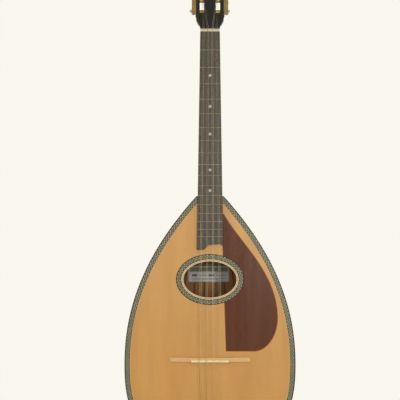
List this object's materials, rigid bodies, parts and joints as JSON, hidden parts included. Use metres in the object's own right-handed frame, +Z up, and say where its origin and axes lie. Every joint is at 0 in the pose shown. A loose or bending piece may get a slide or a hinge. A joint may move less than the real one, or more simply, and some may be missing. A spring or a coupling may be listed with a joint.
{
  "type": "bouzouki",
  "caption": "Long-necked lute with a staved bowl back, flat front with an oval sound hole, slotted head with geared tuners, and strings in paired courses.",
  "frame": {"origin": "on the neck's front face at the lower edge of the nut, where a wall hanger's fork takes the neck", "axes": "+Z up along the neck to the head, -Y out of the front (the strings' side), +X to the treble side"},
  "size_m": [0.34, 0.1865, 1.0136],
  "materials": {
    "spruce": "satin lacquer",
    "brace_spruce": "bare",
    "mosaic": "polished chequer",
    "pale_wood": "satin lacquer",
    "dark_line": "satin lacquer",
    "pickguard_wood": "satin lacquer",
    "paper": "matte",
    "lining_paper": "matte",
    "bowl_wood": "gloss lacquer",
    "block_wood": "bare",
    "strap_plastic": "polished",
    "neck_wood": "satin lacquer",
    "head_black": "gloss lacquer",
    "rosewood": "oiled",
    "fret_metal": "polished",
    "pearl": "polished",
    "bone": "polished",
    "bridge_maple": "bare",
    "gilt": "worn gilt",
    "wound_string": "wound bronze",
    "plain_string": "plain steel",
    "worm_metal": "machined",
    "button_plastic": "pearled",
    "roller_bone": "satin"
  },
  "bodies": {
    "body_and_neck": {"soundboard": "spruce", "soundboard_braces": "brace_spruce", "rosette_mosaic": "mosaic", "rosette_ring": "pale_wood", "edge_mosaic": "mosaic", "edge_purfling": "dark_line", "edge_binding": "dark_line", "pickguard": "pickguard_wood", "paper_label": "paper", "bowl_staves": "bowl_wood", "bowl_fillets": "pale_wood", "bowl_lining": "lining_paper", "rim_linings": "block_wood", "neck_block": "block_wood", "tail_block": "block_wood", "tail_cap": "bowl_wood", "strap_button": "strap_plastic", "neck": "neck_wood", "headstock": "head_black", "head_overlay": "head_black", "fingerboard": "rosewood", "frets": "fret_metal", "position_markers": "pearl", "nut": "bone", "bridge_base": "bridge_maple", "bridge_saddle": "bone", "tailpiece": "fret_metal", "tailpiece_screws": "gilt", "strings_wound": "wound_string", "strings_plain": "plain_string", "tuner_plate_left": "gilt", "tuner_plate_right": "gilt", "tuner_plate_screws": "gilt"},
    "knob_1": {"worm_shaft_1": "worm_metal", "tuning_button_1": "button_plastic"},
    "roller_1": {"string_roller_1": "roller_bone"},
    "knob_2": {"worm_shaft_2": "worm_metal", "tuning_button_2": "button_plastic"},
    "roller_2": {"string_roller_2": "roller_bone"},
    "knob_3": {"worm_shaft_3": "worm_metal", "tuning_button_3": "button_plastic"},
    "roller_3": {"string_roller_3": "roller_bone"},
    "knob_4": {"worm_shaft_4": "worm_metal", "tuning_button_4": "button_plastic"},
    "roller_4": {"string_roller_4": "roller_bone"},
    "knob_5": {"worm_shaft_5": "worm_metal", "tuning_button_5": "button_plastic"},
    "roller_5": {"string_roller_5": "roller_bone"},
    "knob_6": {"worm_shaft_6": "worm_metal", "tuning_button_6": "button_plastic"},
    "roller_6": {"string_roller_6": "roller_bone"},
    "knob_7": {"worm_shaft_7": "worm_metal", "tuning_button_7": "button_plastic"},
    "roller_7": {"string_roller_7": "roller_bone"},
    "knob_8": {"worm_shaft_8": "worm_metal", "tuning_button_8": "button_plastic"},
    "roller_8": {"string_roller_8": "roller_bone"}
  },
  "joints": [
    {"name": "knob_1_turn", "type": "hinge", "parent": "body_and_neck", "child": "knob_1", "pos_m": [-0.03275, 0.01552, 0.05014], "axis": [0, 0.9781, -0.2079], "continuous": true},
    {"name": "roller_1_turn", "type": "hinge", "parent": "body_and_neck", "child": "roller_1", "pos_m": [-0.03275, 0.01367, 0.04143], "axis": [1, 0, 0], "continuous": true},
    {"name": "knob_2_turn", "type": "hinge", "parent": "body_and_neck", "child": "knob_2", "pos_m": [-0.03275, 0.02051, 0.07361], "axis": [0, 0.9781, -0.2079], "continuous": true},
    {"name": "roller_2_turn", "type": "hinge", "parent": "body_and_neck", "child": "roller_2", "pos_m": [-0.03275, 0.01866, 0.06491], "axis": [1, 0, 0], "continuous": true},
    {"name": "knob_3_turn", "type": "hinge", "parent": "body_and_neck", "child": "knob_3", "pos_m": [-0.03275, 0.0255, 0.09709], "axis": [0, 0.9781, -0.2079], "continuous": true},
    {"name": "roller_3_turn", "type": "hinge", "parent": "body_and_neck", "child": "roller_3", "pos_m": [-0.03275, 0.02365, 0.08838], "axis": [1, 0, 0], "continuous": true},
    {"name": "knob_4_turn", "type": "hinge", "parent": "body_and_neck", "child": "knob_4", "pos_m": [-0.03275, 0.03049, 0.12057], "axis": [0, 0.9781, -0.2079], "continuous": true},
    {"name": "roller_4_turn", "type": "hinge", "parent": "body_and_neck", "child": "roller_4", "pos_m": [-0.03275, 0.02864, 0.11186], "axis": [1, 0, 0], "continuous": true},
    {"name": "knob_5_turn", "type": "hinge", "parent": "body_and_neck", "child": "knob_5", "pos_m": [0.03275, 0.01552, 0.05014], "axis": [0, 0.9781, -0.2079], "continuous": true},
    {"name": "roller_5_turn", "type": "hinge", "parent": "body_and_neck", "child": "roller_5", "pos_m": [0.03275, 0.01367, 0.04143], "axis": [1, 0, 0], "continuous": true},
    {"name": "knob_6_turn", "type": "hinge", "parent": "body_and_neck", "child": "knob_6", "pos_m": [0.03275, 0.02051, 0.07361], "axis": [0, 0.9781, -0.2079], "continuous": true},
    {"name": "roller_6_turn", "type": "hinge", "parent": "body_and_neck", "child": "roller_6", "pos_m": [0.03275, 0.01866, 0.06491], "axis": [1, 0, 0], "continuous": true},
    {"name": "knob_7_turn", "type": "hinge", "parent": "body_and_neck", "child": "knob_7", "pos_m": [0.03275, 0.0255, 0.09709], "axis": [0, 0.9781, -0.2079], "continuous": true},
    {"name": "roller_7_turn", "type": "hinge", "parent": "body_and_neck", "child": "roller_7", "pos_m": [0.03275, 0.02365, 0.08838], "axis": [1, 0, 0], "continuous": true},
    {"name": "knob_8_turn", "type": "hinge", "parent": "body_and_neck", "child": "knob_8", "pos_m": [0.03275, 0.03049, 0.12057], "axis": [0, 0.9781, -0.2079], "continuous": true},
    {"name": "roller_8_turn", "type": "hinge", "parent": "body_and_neck", "child": "roller_8", "pos_m": [0.03275, 0.02864, 0.11186], "axis": [1, 0, 0], "continuous": true}
  ],
  "couplings": [
    {"joint": "roller_1_turn", "follows": "knob_1_turn", "ratio": 0.071429},
    {"joint": "roller_2_turn", "follows": "knob_2_turn", "ratio": 0.071429},
    {"joint": "roller_3_turn", "follows": "knob_3_turn", "ratio": 0.071429},
    {"joint": "roller_4_turn", "follows": "knob_4_turn", "ratio": 0.071429},
    {"joint": "roller_5_turn", "follows": "knob_5_turn", "ratio": 0.071429},
    {"joint": "roller_6_turn", "follows": "knob_6_turn", "ratio": 0.071429},
    {"joint": "roller_7_turn", "follows": "knob_7_turn", "ratio": 0.071429},
    {"joint": "roller_8_turn", "follows": "knob_8_turn", "ratio": 0.071429}
  ]
}
